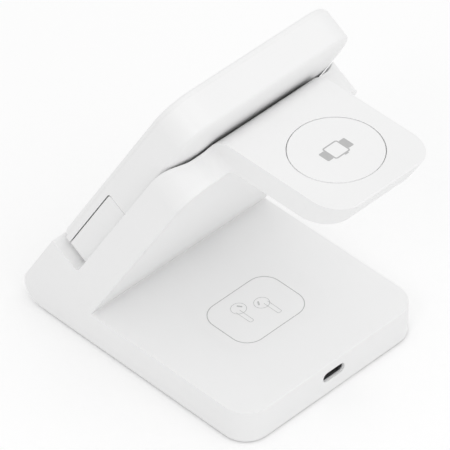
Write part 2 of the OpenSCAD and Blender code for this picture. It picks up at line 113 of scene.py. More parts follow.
scene.view_settings.view_transform = "Standard"
world = bpy.data.worlds.new("studio")
scene.world = world
world.use_nodes = True
sky = world.node_tree.nodes["Background"]
sky.inputs["Color"].default_value = (1.0, 1.0, 1.0, 1.0)
sky.inputs["Strength"].default_value = WORLD_STRENGTH


def softbox(name, power, width, place):
    """A square lamp that faces the stand."""
    data = bpy.data.lights.new(name, "AREA")
    data.energy = power
    data.size = width
    lamp = bpy.data.objects.new(name, data)
    scene.collection.objects.link(lamp)
    lamp.location = place
    lamp.rotation_euler = (LOOK_AT - place).to_track_quat("-Z", "Y").to_euler()
    print(name, round((place - LOOK_AT).length, 2), "m away")


softbox("overhead", TOP_POWER, TOP_WIDTH, TOP_PLACE)
softbox("streak", STREAK_POWER, STREAK_WIDTH, STREAK_PLACE)
softbox("fill", FILL_POWER, FILL_WIDTH, FILL_PLACE)

# %% [markdown]
# ## Helpers for materials
# Every finish here is a Principled shader with a pattern that is worked out by nodes and read at
# Object coordinates, which are metres, so a grain has its real size. Each could be wired by hand,
# but the same few steps come back every time. So small functions do one step each, and one more,
# grained, makes a whole finish from one noise.
# %% Material helpers
def new_material(name, colour, roughness, metallic=0.0):
    material = bpy.data.materials.new(name)
    material.use_nodes = True
    shader = material.node_tree.nodes["Principled BSDF"]
    shader.inputs["Base Color"].default_value = (*colour, 1.0)
    shader.inputs["Roughness"].default_value = roughness
    shader.inputs["Metallic"].default_value = metallic
    material.diffuse_color = (*colour, 1.0)
    return material, shader


def noise(material, grain, detail=2.0, stretch=(1.0, 1.0, 1.0)):
    """A noise whose grains are about that many metres wide."""
    nodes = material.node_tree.nodes
    links = material.node_tree.links
    place = nodes.new("ShaderNodeTexCoord")
    mapping = nodes.new("ShaderNodeMapping")
    mapping.inputs["Scale"].default_value = stretch
    texture = nodes.new("ShaderNodeTexNoise")
    texture.inputs["Scale"].default_value = 1.0 / grain
    texture.inputs["Detail"].default_value = detail
    links.new(place.outputs["Object"], mapping.inputs["Vector"])
    links.new(mapping.outputs["Vector"], texture.inputs["Vector"])
    return texture.outputs["Fac"]


def ranged(material, value, low, high, source_low=0.3, source_high=0.7):
    """The pattern's value brought to between low and high."""
    node = material.node_tree.nodes.new("ShaderNodeMapRange")
    node.inputs["From Min"].default_value = source_low
    node.inputs["From Max"].default_value = source_high
    node.inputs["To Min"].default_value = low
    node.inputs["To Max"].default_value = high
    material.node_tree.links.new(value, node.inputs["Value"])
    return node.outputs["Result"]


def bump(material, shader, height, distance):
    """Relief of that many metres, by the pattern's value."""
    node = material.node_tree.nodes.new("ShaderNodeBump")
    node.inputs["Distance"].default_value = distance
    node.inputs["Strength"].default_value = 1.0
    material.node_tree.links.new(height, node.inputs["Height"])
    material.node_tree.links.new(node.outputs["Normal"], shader.inputs["Normal"])


def tint(material, shader, value, dark, light):
    """Colour between dark and light, by the pattern's value."""
    node = material.node_tree.nodes.new("ShaderNodeMix")
    node.data_type = "RGBA"
    node.inputs["A"].default_value = (*dark, 1.0)
    node.inputs["B"].default_value = (*light, 1.0)
    material.node_tree.links.new(value, node.inputs["Factor"])
    material.node_tree.links.new(node.outputs["Result"], shader.inputs["Base Color"])


def gloss(material, shader, value, low, high):
    """Roughness between low and high, by the pattern's value."""
    material.node_tree.links.new(ranged(material, value, low, high), shader.inputs["Roughness"])


def grained(name, colour, roughness, grain, detail, metallic=0.0, stretch=(1.0, 1.0, 1.0),
            rough=None, tints=None, depth=None):
    """A finish whose roughness, colour and relief can follow one noise."""
    material, shader = new_material(name, colour, roughness, metallic)
    pattern = noise(material, grain, detail, stretch)
    if rough:
        gloss(material, shader, pattern, *rough)
    if tints:
        tint(material, shader, ranged(material, pattern, 0.0, 1.0), *tints)
    if depth:
        bump(material, shader, pattern, depth)
    return material


print("material helpers ready")

# %% [markdown]
# ## The floor
# A studio floor is a sheet of white card. A plain white one would come out grey here, because the
# light is kept low enough for the white stand to keep its shades. So the card is pure white and a
# little lifted to the camera, to reflections and to what is seen through, and slightly darker for
# the light that it throws back onto the stand. The lift is small, so the faint shadow stays on it.
# %% Floor
FLOOR_SIZE = 6.0
FLOOR_SEEN = 1.0
FLOOR_BOUNCE = 0.9
FLOOR_LIFT = 0.05


def either(material, first, second):
    """One where the first or the second value is one."""
    node = material.node_tree.nodes.new("ShaderNodeMath")
    node.operation = "MAXIMUM"
    material.node_tree.links.new(first, node.inputs[0])
    material.node_tree.links.new(second, node.inputs[1])
    return node.outputs[0]


def card_material():
    material, shader = new_material("white_card", (FLOOR_SEEN,) * 3, 1.0)
    shader.inputs["Specular IOR Level"].default_value = 0.0
    path = material.node_tree.nodes.new("ShaderNodeLightPath")
    seen = either(material, path.outputs["Is Camera Ray"], path.outputs["Is Glossy Ray"])
    seen = either(material, seen, path.outputs["Is Transmission Ray"])
    tint(material, shader, seen, (FLOOR_BOUNCE,) * 3, (FLOOR_SEEN,) * 3)
    shader.inputs["Emission Color"].default_value = (1.0, 1.0, 1.0, 1.0)
    material.node_tree.links.new(ranged(material, seen, 0.0, FLOOR_LIFT, 0.0, 1.0),
                                 shader.inputs["Emission Strength"])
    return material


card = bmesh.new()
bmesh.ops.create_grid(card, x_segments=1, y_segments=1, size=FLOOR_SIZE / 2)
card_mesh = bpy.data.meshes.new("floor")
card.to_mesh(card_mesh)
card.free()
card_mesh.materials.append(card_material())
floor = bpy.data.objects.new("floor", card_mesh)
scene.collection.objects.link(floor)
print("floor", FLOOR_SIZE, "m wide")

# %% [markdown]
# ## White moulded plastic
# The housings are injection moulded in white ABS with a very fine matt texture, etched into the
# mould. Seen close, the texture is a bump of about a tenth of a millimetre, and the gloss wanders a
# little over the part where the plastic cooled at different rates. Both are noises here.
# %% White plastic
WHITE = 0.93
SHELL_ROUGHNESS = 0.36
MATT_ROUGHNESS = 0.5
SPECULAR = 0.42
GRAIN = 0.14 * MM
GRAIN_DEPTH = 0.004 * MM
GRAIN_DETAIL = 3.0
CLOUD = 25 * MM
CLOUD_TINT = 0.006
SHEEN = 9 * MM
SHEEN_RANGE = 0.05


def moulded_white(name, level, roughness):
    material, shader = new_material(name, (level,) * 3, roughness)
    shader.inputs["Specular IOR Level"].default_value = SPECULAR
    clouds = ranged(material, noise(material, CLOUD), 0.0, 1.0)
    tint(material, shader, clouds, (level - CLOUD_TINT,) * 3, (level + CLOUD_TINT,) * 3)
    gloss(material, shader, noise(material, SHEEN), roughness - SHEEN_RANGE, roughness + SHEEN_RANGE)
    bump(material, shader, noise(material, GRAIN, GRAIN_DETAIL), GRAIN_DEPTH)
    return material


shell_white = moulded_white("shell_white", WHITE, SHELL_ROUGHNESS)
# The cover's white is painted 0.02 lighter than the shell's. This is painted light that lifts the
# inner face of the open bay, which lies in shade.
shade_lifted_white = moulded_white("shade_lifted_white", WHITE + 0.02, MATT_ROUGHNESS)
panel_white = moulded_white("panel_white", WHITE, SHELL_ROUGHNESS)
disc_white = moulded_white("disc_white", WHITE + 0.005, MATT_ROUGHNESS)
print("white plastics", [m.name for m in (shell_white, shade_lifted_white, panel_white, disc_white)])

# %% [markdown]
# ## Metal, rubber, copper and boards
# Little of these shows from outside, only the socket in the rear opening and the rubber feet, but
# the stand can be opened, so each inner piece has its own finish too. Plated steel is a metal with
# faint rolled streaks, rubber is dark and dull with a coarse grain, ferrite is a fired ceramic, and a
# circuit board is a green lacquer over woven glass.
# %% Other finishes
WEAVE = 0.4 * MM


def green_lacquer():
    material, shader = new_material("green_lacquer", (0.02, 0.16, 0.06), 0.3)
    weave = material.node_tree.nodes.new("ShaderNodeTexChecker")
    place = material.node_tree.nodes.new("ShaderNodeTexCoord")
    weave.inputs["Scale"].default_value = 1.0 / WEAVE
    material.node_tree.links.new(place.outputs["Object"], weave.inputs["Vector"])
    tint(material, shader, weave.outputs["Fac"], (0.018, 0.15, 0.055), (0.024, 0.17, 0.065))
    return material


steel = grained("plated_steel", (0.70, 0.70, 0.71), 0.3, grain=0.4 * MM, detail=3.0, metallic=1.0,
                stretch=(0.1, 1.0, 1.0), rough=(0.24, 0.42), depth=0.003 * MM)
rubber = grained("foot_rubber", (0.06, 0.06, 0.065), 0.8, grain=0.3 * MM, detail=4.0,
                 tints=((0.05, 0.05, 0.055), (0.08, 0.08, 0.085)), depth=0.02 * MM)
ferrite = grained("fired_ferrite", (0.05, 0.05, 0.055), 0.6, grain=0.5 * MM, detail=5.0,
                  tints=((0.035, 0.035, 0.04), (0.07, 0.07, 0.075)), depth=0.01 * MM)
black = grained("black_moulding", (0.02, 0.02, 0.021), 0.5, grain=0.2 * MM, detail=3.0,
                rough=(0.42, 0.58), depth=0.005 * MM)
magnet = grained("plated_magnet", (0.72, 0.72, 0.73), 0.18, grain=2 * MM, detail=3.0, metallic=1.0,
                 rough=(0.12, 0.26))
film = grained("amber_film", (0.45, 0.19, 0.03), 0.3, grain=1.5 * MM, detail=3.0,
               tints=((0.40, 0.16, 0.02), (0.52, 0.24, 0.04)))
lacquer = green_lacquer()
print("other finishes", [m.name for m in (steel, rubber, ferrite, black, magnet, film, lacquer)])

# %% [markdown]
# ## Copper windings
# Each coil is a flat spiral of enamelled copper wire. The solid is one flat ring, so its turns are
# a bump: rings round the coil's own middle. The middle is taken from the node's box, and a Mapping
# node moves and turns the pattern there, because Texture Coordinate only knows the stand's origin.
# %% Copper windings
TURN = 0.9 * MM
TURN_RELIEF = 0.15 * MM
WAVE_UNIT = math.tau / 20
LEAN = math.radians(60)


def copper_winding(node, lean):
    low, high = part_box(node)
    material, shader = new_material("copper_" + node, (0.72, 0.33, 0.16), 0.3, 1.0)
    nodes = material.node_tree.nodes
    links = material.node_tree.links
    place = nodes.new("ShaderNodeTexCoord")
    mapping = nodes.new("ShaderNodeMapping")
    mapping.vector_type = "TEXTURE"
    mapping.inputs["Location"].default_value = (low + high) / 2
    mapping.inputs["Rotation"].default_value = (lean, 0.0, 0.0)
    rings = nodes.new("ShaderNodeTexWave")
    rings.wave_type = "RINGS"
    rings.rings_direction = "Z"
    rings.inputs["Scale"].default_value = WAVE_UNIT / TURN
    links.new(place.outputs["Object"], mapping.inputs["Vector"])
    links.new(mapping.outputs["Vector"], rings.inputs["Vector"])
    bump(material, shader, rings.outputs["Fac"], TURN_RELIEF)
    return material


coil_leans = {"earbud_coil": 0.0, "watch_coil": 0.0, "phone_coil": LEAN}
windings = {node: copper_winding(node, lean) for node, lean in coil_leans.items()}
print("windings", sorted(windings))

# %% [markdown]
# ## Dressing the solids
# The inner pieces, the watch disc, the bottom cover and the feet only need their finish, and no
# other form than they have. They could be modelled again, but then two shapes would have to agree.
# So each solid is kept as it was packed, and only its material is set.
# %% Give the solids their finishes
def dress(node, material):
    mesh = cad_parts[node].data
    mesh.materials.clear()
    mesh.materials.append(material)


finishes = {
    steel: ["ballast_plate", "inlet_shell", "bottom_screws", "hinge_pin", "panel_screws"],
    rubber: ["rubber_feet"],
    ferrite: ["earbud_ferrite", "watch_ferrite", "phone_ferrite"],
    black: ["board_parts", "inlet_tongue"],
    magnet: ["watch_magnet", "magnet_ring"],
    film: ["watch_flex"],
    lacquer: ["main_board", "watch_board", "panel_board"],
    shade_lifted_white: ["bottom_cover"],
    disc_white: ["watch_disc"],
}
for material, nodes in finishes.items():
    for node in nodes:
        dress(node, material)
for node, material in windings.items():
    dress(node, material)
print("dressed", sum(len(n) for n in finishes.values()) + len(windings), "solids")

# %% [markdown]
# ## The frame of the incline
# The spine, the scoop in it and the phone panel all lie along one incline, so they are drawn in a
# frame of their own: x across, y up the incline, z out from the spine's front plane. It could be
# typed in as numbers, but the hinge pin already lies in it, so the pin's box places it.
# %% Frame of the incline
PIN_UP = 19.2 * MM
PIN_OUT = 4.0 * MM
pin_low, pin_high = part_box("hinge_pin")
incline = (Matrix.Translation((pin_low + pin_high) / 2) @ Matrix.Rotation(LEAN, 4, "X")
           @ Matrix.Translation((0.0, -PIN_UP, -PIN_OUT)))
print("foot of the incline in mm", [round(v / MM, 2) for v in incline.translation])

# %% [markdown]
# ## Helpers for solid forms
# The scoop, the crown and the slabs are drawn as flat outlines and given depth, the way that a
# moulder draws them. Where one form is let into another, it is cut with a boolean, so that the seam
# follows both. The work is done on copies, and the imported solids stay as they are.
# %% Form helpers
def verts_of(made):
    return [v for v in made["geom"] if isinstance(v, bmesh.types.BMVert)]


def rounded_face(shape, width, depth, radii, segments):
    """A flat face centred on the origin, with its own radius at its near and its far corners."""
    made = bmesh.ops.create_grid(shape, x_segments=1, y_segments=1, size=0.5)
    bmesh.ops.scale(shape, vec=(width, depth, 1.0), verts=made["verts"])
    near = [v for v in made["verts"] if v.co.y < 0]
    far = [v for v in made["verts"] if v.co.y > 0]
    for corners, radius in ((near, radii[0]), (far, radii[1])):
        if radius > 0:
            bmesh.ops.bevel(shape, geom=corners, affect="VERTICES", offset=radius,
                            offset_type="OFFSET", segments=segments, profile=0.5, material=-1)
    shape.faces.ensure_lookup_table()
    return shape.faces[0]


def deepened(shape, face, step, scale=(1.0, 1.0)):
    """Extrudes the face by step along z and scales its far end about the middle."""
    inside = all(len(edge.link_faces) > 1 for edge in face.edges)
    made = bmesh.ops.extrude_face_region(shape, geom=[face])
    if inside:
        bmesh.ops.delete(shape, geom=[face], context="FACES_ONLY")
    bmesh.ops.scale(shape, vec=(scale[0], scale[1], 1.0), verts=verts_of(made))
    bmesh.ops.translate(shape, vec=(0.0, 0.0, step), verts=verts_of(made))
    return [f for f in made["geom"] if isinstance(f, bmesh.types.BMFace)][0]


def finished(name, shape, matrix):
    """Turns the shape into an object, with its points at their final place."""
    bmesh.ops.transform(shape, matrix=matrix, verts=shape.verts)
    bmesh.ops.recalc_face_normals(shape, faces=shape.faces)
    mesh = bpy.data.meshes.new(name)
    shape.to_mesh(mesh)
    shape.free()
    piece = bpy.data.objects.new(name, mesh)
    scene.collection.objects.link(piece)
    return piece


def prism(name, corners, step):
    """A solid whose end face has those corners in the incline's frame, pulled along the step."""
    shape = bmesh.new()
    face = shape.faces.new([shape.verts.new(corner) for corner in corners])
    made = bmesh.ops.extrude_face_region(shape, geom=[face])
    bmesh.ops.translate(shape, vec=step, verts=verts_of(made))
    return finished(name, shape, incline)


print("form helpers ready")

# %% [markdown]
# A side view pulled across gives most of the tools and fillers, and an arc is part of many of those
# views. The cuts could be made one by one on the mesh, but as modifiers they are worked out in one
# go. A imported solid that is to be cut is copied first, with its doubled points merged.
# %% Side views, cuts and copies
MERGE = 0.001 * MM


def side_prism(name, outline, half_width):
    """A solid with a side view in the incline's frame, given as points up and out."""
    corners = [(-half_width, up_by, out_by) for up_by, out_by in outline]
    return prism(name, corners, (2 * half_width, 0.0, 0.0))


def arc(centre, radius, start, stop, steps=12):
    """Points of an arc, with its angles in degrees."""
    turns = [math.radians(start + (stop - start) * i / steps) for i in range(steps + 1)]
    return [(centre[0] + radius * math.cos(t), centre[1] + radius * math.sin(t)) for t in turns]


def combined(piece, tools):
    """Joins and cuts the piece with the tools, one after another, and takes the tools away."""
    for operation, tool in tools:
        step = piece.modifiers.new(tool.name, "BOOLEAN")
        step.operation = operation
        step.solver = "EXACT"
        step.object = tool
    depsgraph = bpy.context.evaluated_depsgraph_get()
    made = bpy.data.meshes.new_from_object(piece.evaluated_get(depsgraph))
    piece.modifiers.clear()
    piece.data = made
    for _, tool in tools:
        bpy.data.objects.remove(tool)
    size = [round(v / MM, 2) for v in piece.dimensions]
    print(piece.name, "faces", len(made.polygons), "size in mm", size)
    return piece


def copied(name, node):
    """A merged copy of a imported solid, to be worked on."""
    shape = bmesh.new()
    shape.from_mesh(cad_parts[node].data)
    bmesh.ops.remove_doubles(shape, verts=shape.verts, dist=MERGE)
    return finished(name, shape, Matrix.Identity(4))


print("cutting helpers ready")

# %% [markdown]
# ## Soft moulded edges
# No moulded edge is razor sharp: the cutter that makes the mould leaves a small radius, and that
# thin round is what catches the light along every edge. It could be painted on with a shader, but
# real geometry also shows in silhouettes, so the sharp edges are bevelled, and a Weighted Normal
# modifier keeps the large flat faces even beside them.
# %% Soft edges
SHARP = math.radians(32)
FLAT = math.radians(0.3)
EDGE_MERGE = 0.004 * MM
EDGE_SEGMENTS = 3
SOFT = 0.12 * MM
COVER_SOFT = 0.06 * MM


def bevelled(piece, width):
    """Rounds the sharp edges, after faces that lie in one plane are joined."""
    shape = bmesh.new()
    shape.from_mesh(piece.data)
    bmesh.ops.remove_doubles(shape, verts=shape.verts, dist=EDGE_MERGE)
    bmesh.ops.dissolve_limit(shape, angle_limit=FLAT, verts=shape.verts,
                             edges=shape.edges, use_dissolve_boundaries=False)
    sharp = [e for e in shape.edges if e.is_manifold and e.calc_face_angle() > SHARP]
    bmesh.ops.bevel(shape, geom=sharp, affect="EDGES", offset=width, offset_type="OFFSET",
                    segments=EDGE_SEGMENTS, profile=0.5, clamp_overlap=False, material=-1)
    shape.to_mesh(piece.data)
    shape.free()
    print(piece.name, "bevelled edges", len(sharp), "faces", len(piece.data.polygons))
    return piece


def stands_for(piece, node, material, body):
    """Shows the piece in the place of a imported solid, and lets it move with its body."""
    mesh = piece.data
    mesh.materials.clear()
    mesh.materials.append(material)
    mesh.shade_smooth()
    mesh.set_sharp_from_angle(angle=SHARP)
    weighted = piece.modifiers.new("even_faces", "WEIGHTED_NORMAL")
    weighted.keep_sharp = True
    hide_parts(node)
    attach(piece, body)


print("edges softer than", round(math.degrees(SHARP)), "degrees stay as they are")

# %% [markdown]
# ## The body with its scoop
# On the real stand the front of the spine is hollowed by a shallow scoop that runs up through the
# shoulders, and the panel's crowned back lies in it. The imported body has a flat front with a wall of
# its own behind it, so the scoop can't be cut from that body alone. Its spine could be filled first,
# but a filling whose sides lay in one plane with the body's left torn faces. So the body gets a room
# where its spine is, and a solid spine with the scoop in it is fitted there, proud of the sides by
# too little to see. The root of the slot and the large bend are small solids of their own.
# %% Sizes of the scoop
SPINE_HALF = 38.5 * MM
SPINE_BACK = -12.0 * MM
SHOULDER_UP = 92.8 * MM
SHOULDER_R = 10.7 * MM
SHOULDER_STEPS = 24
SCOOP_DEPTH = 2.7 * MM
SCOOP_FLANK = 10.5 * MM
SCOOP_HALF = 39.0 * MM
SCOOP_REACH = 60 * MM
FLANK_STEPS = 16
LEDGE_UP = 16.22 * MM
PROUD = 0.005 * MM
ROOM_LAP = 0.5 * MM
ROOM_FRONT = 5 * MM
SIDE_PAST = MM
TOOL_HALF = SPINE_HALF + 5 * MM


def block_of(name, half_width, low, high, back, front, far_radius=0.0):
    """A block in the incline's frame, with rounded far corners where a radius is given."""
    shape = bmesh.new()
    face = rounded_face(shape, 2 * half_width, high - low, (0.0, far_radius), SHOULDER_STEPS)
    deepened(shape, face, back - front)
    middle = Matrix.Translation((0.0, (low + high) / 2, front))
    return finished(name, shape, incline @ middle)


def scoop_tool():
    """What is cut from the spine's front: a flat floor between flanks that are half a wave."""
    flank = []
    for i in range(FLANK_STEPS + 1):
        depth = -SCOOP_DEPTH * (1 - math.cos(math.pi * i / FLANK_STEPS)) / 2
        flank.append((SCOOP_HALF - SCOOP_FLANK * i / FLANK_STEPS, depth))
    outline = flank + [(-x, z) for x, z in reversed(flank)]
    outline += [(-SCOOP_HALF, SCOOP_REACH), (SCOOP_HALF, SCOOP_REACH)]
    corners = [(x, LEDGE_UP, z) for x, z in outline]
    return prism("scoop_tool", corners, (0.0, 2 * SCOOP_REACH, 0.0))


print("scoop", round(SCOOP_DEPTH / MM, 1), "mm deep")

# %% [markdown]
# The bend is one arc that leaves the scoop's floor and meets the level shelf top. It could be a
# bevel on the edge between them. Here its side view is drawn instead, so that the arc's ends lie
# where the floor and the shelf top begin: once as what is cut from the body and once, a hair
# further out, as the solid that fills it.
# %% The bend and the root of the slot
BEND_R = 10.0 * MM
SHELF_HALF = 21.6 * MM
SHELF_UP = 98.843 * MM
BEND_FOOT = 93.2 * MM
BEND_BACK = -6 * MM
BEND_OUT = 6 * MM
BEND_CLEAR = 4 * MM
ALONG_SHELF = (MM, -1.732 * MM)
IN_SHELF = (-2 * MM, -3.464 * MM)
SLOT_ROOT = 18.0 * MM
ROOT_R = 1.8 * MM
ROOT_FOOT = 15 * MM
ROOT_BACK = -MM


def bend_arc(proud):
    """The arc between the scoop's floor and the shelf top, from the floor upwards."""
    depth = SCOOP_DEPTH - proud
    corner = (SHELF_UP + proud / math.sin(LEAN) + depth / math.tan(LEAN), -depth)
    centre = (corner[0] - BEND_R * math.tan(LEAN / 2), corner[1] - BEND_R)
    return arc(centre, BEND_R, 90, 90 - math.degrees(LEAN))


def beyond(point, step):
    return (point[0] + step[0], point[1] + step[1])


cut_arc = bend_arc(0.0)
bend_view = cut_arc + [beyond(cut_arc[-1], (BEND_CLEAR, BEND_CLEAR)), (cut_arc[0][0], BEND_OUT)]
proud_arc = bend_arc(PROUD)
shelf_view = [(BEND_FOOT, BEND_BACK), (BEND_FOOT, proud_arc[0][1])] + proud_arc
shelf_view += [beyond(proud_arc[-1], ALONG_SHELF), beyond(proud_arc[-1], IN_SHELF)]
root_centre = (LEDGE_UP + ROOT_R, ROOT_R)
root_view = arc(root_centre, ROOT_R, 180, 270)
root_view += [(LEDGE_UP + ROOT_R, ROOT_BACK), (ROOT_FOOT, ROOT_BACK), (ROOT_FOOT, ROOT_R)]
print("bend", len(shelf_view), "points, slot root", len(root_view), "points")

# %% [markdown]
# Now the body and the spine are cut. The bevel comes after the cuts, because cutting a body that is
# already bevelled leaves torn faces. The spine's cover, which closes it on the side of the open
# bay, keeps its packed form and only gets soft edges.
# %% Body with scoop
spine_room = block_of("spine_room", SPINE_HALF + SIDE_PAST, SLOT_ROOT + ROOM_LAP,
                      SHOULDER_UP - PROUD, SPINE_BACK + ROOM_LAP, ROOM_FRONT)
body = combined(copied("soft_main_housing", "main_housing"),
                [("DIFFERENCE", spine_room), ("DIFFERENCE", scoop_tool()),
                 ("DIFFERENCE", side_prism("bend_tool", bend_view, TOOL_HALF))])
spine = combined(block_of("soft_spine", SPINE_HALF + PROUD, SLOT_ROOT, SHOULDER_UP + PROUD,
                          SPINE_BACK, 0.0, SHOULDER_R), [("DIFFERENCE", scoop_tool())])
root = side_prism("soft_slot_root", root_view, SPINE_HALF + PROUD)
bend = side_prism("soft_bend", shelf_view, SHELF_HALF - SIDE_PAST)
for piece in (bevelled(body, SOFT), bevelled(spine, SOFT), root, bend):
    stands_for(piece, "main_housing", shell_white, "stand")
cover = bevelled(copied("soft_spine_cover", "spine_cover"), COVER_SOFT)
stands_for(cover, "spine_cover", shade_lifted_white, "stand")

# %% [markdown]
# ## The phone panel
# The panel is a slab with a crowned back: from its side walls the back swells in one soft curve to
# a flat middle. Its front plate is a thinner slab with a round rim. Each could be a box with a
# bevel, but a bevel gives the same curve on every side. So both are drawn as a rounded outline that
# is given the wall's depth and then thin layers, each a little smaller than the last.
# %% Slabs of the panel
PANEL_HALF = 35.7 * MM
PANEL_FOOT = 17.5 * MM
PANEL_TOP = 111.2 * MM
PANEL_FOOT_R = 2.5 * MM
PANEL_TOP_R = 10.5 * MM
PANEL_FRONT = 10.7 * MM
PANEL_EDGE = 0.9 * MM
CROWN_W = 11.0 * MM
CROWN_H = 2.85 * MM
CROWN_LAYERS = 9
CORNER_STEPS = 16
FRONT_FOOT = 18.6 * MM
FRONT_STEP = 0.4 * MM
FRONT_WALL = 0.4 * MM
FRONT_RIM = 1.4 * MM
RIM_LAYERS = 6


def slab(name, half_w, foot, top, radii, wall, dome_w, dome_h, layers):
    """A rounded slab at the panel's front plane. Its wall and dome go out, or back if negative."""
    shape = bmesh.new()
    half_l = (top - foot) / 2
    face = deepened(shape, rounded_face(shape, 2 * half_w, 2 * half_l, radii, CORNER_STEPS), wall)
    done = (1.0, 1.0, 0.0)
    for i in range(1, layers + 1):
        turn_by = math.pi / 2 * i / layers
        inset = dome_w * (1 - math.cos(turn_by))
        now = (1 - inset / half_w, 1 - inset / half_l, dome_h * math.sin(turn_by))
        face = deepened(shape, face, now[2] - done[2], (now[0] / done[0], now[1] / done[1]))
        done = now
    return finished(name, shape, incline @ Matrix.Translation((0.0, foot + half_l, PANEL_FRONT)))


def crowned_slab(name):
    return slab(name, PANEL_HALF, PANEL_FOOT, PANEL_TOP, (PANEL_FOOT_R, PANEL_TOP_R),
                PANEL_EDGE - PANEL_FRONT, CROWN_W, -CROWN_H, CROWN_LAYERS)


print("panel", round(2 * PANEL_HALF / MM, 1), "mm wide")

# %% [markdown]
# The housing and the block that is let into its foot are the same slab, cut by the block's side
# view, so that their backs run on without a step. The housing's cut is larger by a thin seam and by
# the open groove in front of the block. The housing's front foot is trimmed, so that the panel
# clears the ledge as it tilts, and the block has rooms for the hinge pin and the two lugs.
# %% Views of the block
BLOCK_TOP = 54.8 * MM
BLOCK_FRONT = 8.25 * MM
BLOCK_BACK = -10 * MM
BLOCK_PAST = 5 * MM
GROOVE = 0.4 * MM
SEAM = 0.22 * MM
NOTCH_R = 1.2 * MM
NOTCH_STEPS = 6
CUT_FOOT = 10 * MM
FOOT_BACK = 8.4 * MM
FOOT_FRONT = 11 * MM
FOOT_LOW = 17.7 * MM
FOOT_HIGH = 18.4 * MM
LUG_X = 22.8 * MM
LUG_ROOM = 6.8 * MM
LUG_BACK = 0.7 * MM
LUG_FRONT = 7.9 * MM
LUG_TOP = 22.3 * MM
PIN_ROOM = 2.6 * MM
PIN_ROOM_HALF = 26 * MM
PIN_STEPS = 24


def block_view(up_to, out_to):
    """Side view of the block, with the corner between its top and its front rounded."""
    low = PANEL_FOOT - BLOCK_PAST
    round_out = arc((up_to - NOTCH_R, out_to - NOTCH_R), NOTCH_R, 90, 0, NOTCH_STEPS)
    return [(low, BLOCK_BACK), (low, out_to)] + round_out + [(up_to, BLOCK_BACK)]


def hinge_room(x):
    """Room in the block's foot for one hinge lug of the ledge."""
    view = [(CUT_FOOT, LUG_BACK), (CUT_FOOT, LUG_FRONT), (LUG_TOP, LUG_FRONT), (LUG_TOP, LUG_BACK)]
    room = side_prism("hinge_room", view, LUG_ROOM / 2)
    room.location.x = x
    return room


foot_view = [(CUT_FOOT, FOOT_BACK), (FOOT_LOW, FOOT_BACK),
             (FOOT_HIGH, FOOT_FRONT), (CUT_FOOT, FOOT_FRONT)]
room_view = block_view(BLOCK_TOP + SEAM, BLOCK_FRONT + GROOVE)
pin_view = arc((PIN_UP, PIN_OUT), PIN_ROOM / 2, 0, 360 - 360 / PIN_STEPS, PIN_STEPS - 1)
print("block", round((BLOCK_TOP - PANEL_FOOT) / MM, 1), "mm long")

# %% [markdown]
# Last, the three pieces of the panel are made and ride on the panel's body. The block's cut is an
# intersection: what both the slab and the block's side view hold.
# %% Phone panel
housing = combined(crowned_slab("soft_panel_housing"),
                   [("DIFFERENCE", side_prism("block_room", room_view, TOOL_HALF)),
                    ("DIFFERENCE", side_prism("foot_clearance", foot_view, TOOL_HALF))])
stands_for(bevelled(housing, SOFT), "panel_housing", panel_white, "panel")
block_form = side_prism("block_form", block_view(BLOCK_TOP, BLOCK_FRONT), TOOL_HALF)
block = combined(crowned_slab("soft_hinge_block"),
                 [("INTERSECT", block_form),
                  ("DIFFERENCE", side_prism("pin_room", pin_view, PIN_ROOM_HALF)),
                  ("DIFFERENCE", hinge_room(-LUG_X)), ("DIFFERENCE", hinge_room(LUG_X))])
stands_for(bevelled(block, SOFT), "hinge_block", shell_white, "panel")
front = slab("soft_panel_front", PANEL_HALF - FRONT_STEP, FRONT_FOOT, PANEL_TOP - FRONT_STEP,
             (PANEL_FOOT_R - FRONT_STEP, PANEL_TOP_R - FRONT_STEP), FRONT_WALL, FRONT_RIM,
             FRONT_RIM, RIM_LAYERS)
stands_for(front, "panel_front", panel_white, "panel")
print("panel front faces", len(front.data.polygons))

# %% [markdown]
# ## Printed signs
# The two places carry pale grey signs, pad-printed in one thin coat of ink: a rounded frame with a
# pair of earbuds in the dish, and a watch on the disc. Ink could be a colour in the material, but a
# thin raised shape keeps a crisp edge at any size. Each is a flat face whose corners are bevelled
# round, inset where only a line is wanted, and extruded by the thickness of the ink.
# %% Ink helpers
INK = 0.02 * MM
OUTLINE = 0.3 * MM
FINE_LINE = 0.18 * MM
GREY = 0.52
PALE = 0.56
INK_TINT = 0.02
CORNER_SEGMENTS = 10
OVAL_SEGMENTS = 40


def ink_material(name, level):
    return grained(name, (level,) * 3, 0.5, grain=0.12 * MM, detail=3.0,
                   tints=((level - INK_TINT,) * 3, (level + INK_TINT,) * 3), depth=0.004 * MM)


def sign_face(shape, width, depth, radius):
    """A flat face with four round corners, centred on the origin."""
    made = bmesh.ops.create_grid(shape, x_segments=1, y_segments=1, size=0.5)
    bmesh.ops.scale(shape, vec=(width, depth, 1.0), verts=made["verts"])
    known = set(shape.faces) - {made["verts"][0].link_faces[0]}
    bmesh.ops.bevel(shape, geom=made["verts"], affect="VERTICES", offset=radius,
                    offset_type="OFFSET", segments=CORNER_SEGMENTS, profile=0.5, material=-1)
    return [f for f in shape.faces if f not in known]


def round_face(shape, width, depth):
    """A flat oval face, centred on the origin."""
    made = bmesh.ops.create_circle(shape, cap_ends=True, segments=OVAL_SEGMENTS, radius=0.5)
    bmesh.ops.scale(shape, vec=(width, depth, 1.0), verts=made["verts"])
    return list({f for v in made["verts"] for f in v.link_faces})


def as_line(shape, faces, line):
    """Keeps only a line along the rim of the face."""
    rim = bmesh.ops.inset_region(shape, faces=faces, thickness=line, use_boundary=True,
                                 use_even_offset=True)
    bmesh.ops.delete(shape, geom=faces, context="FACES")
    return rim["faces"]


def moved(shape, faces, place, turn_by=0.0):
    """Turns the faces about the origin and then moves them."""
    verts = list({v for f in faces for v in f.verts})
    bmesh.ops.rotate(shape, cent=(0, 0, 0), matrix=Matrix.Rotation(turn_by, 3, "Z"), verts=verts)
    bmesh.ops.translate(shape, vec=place, verts=verts)


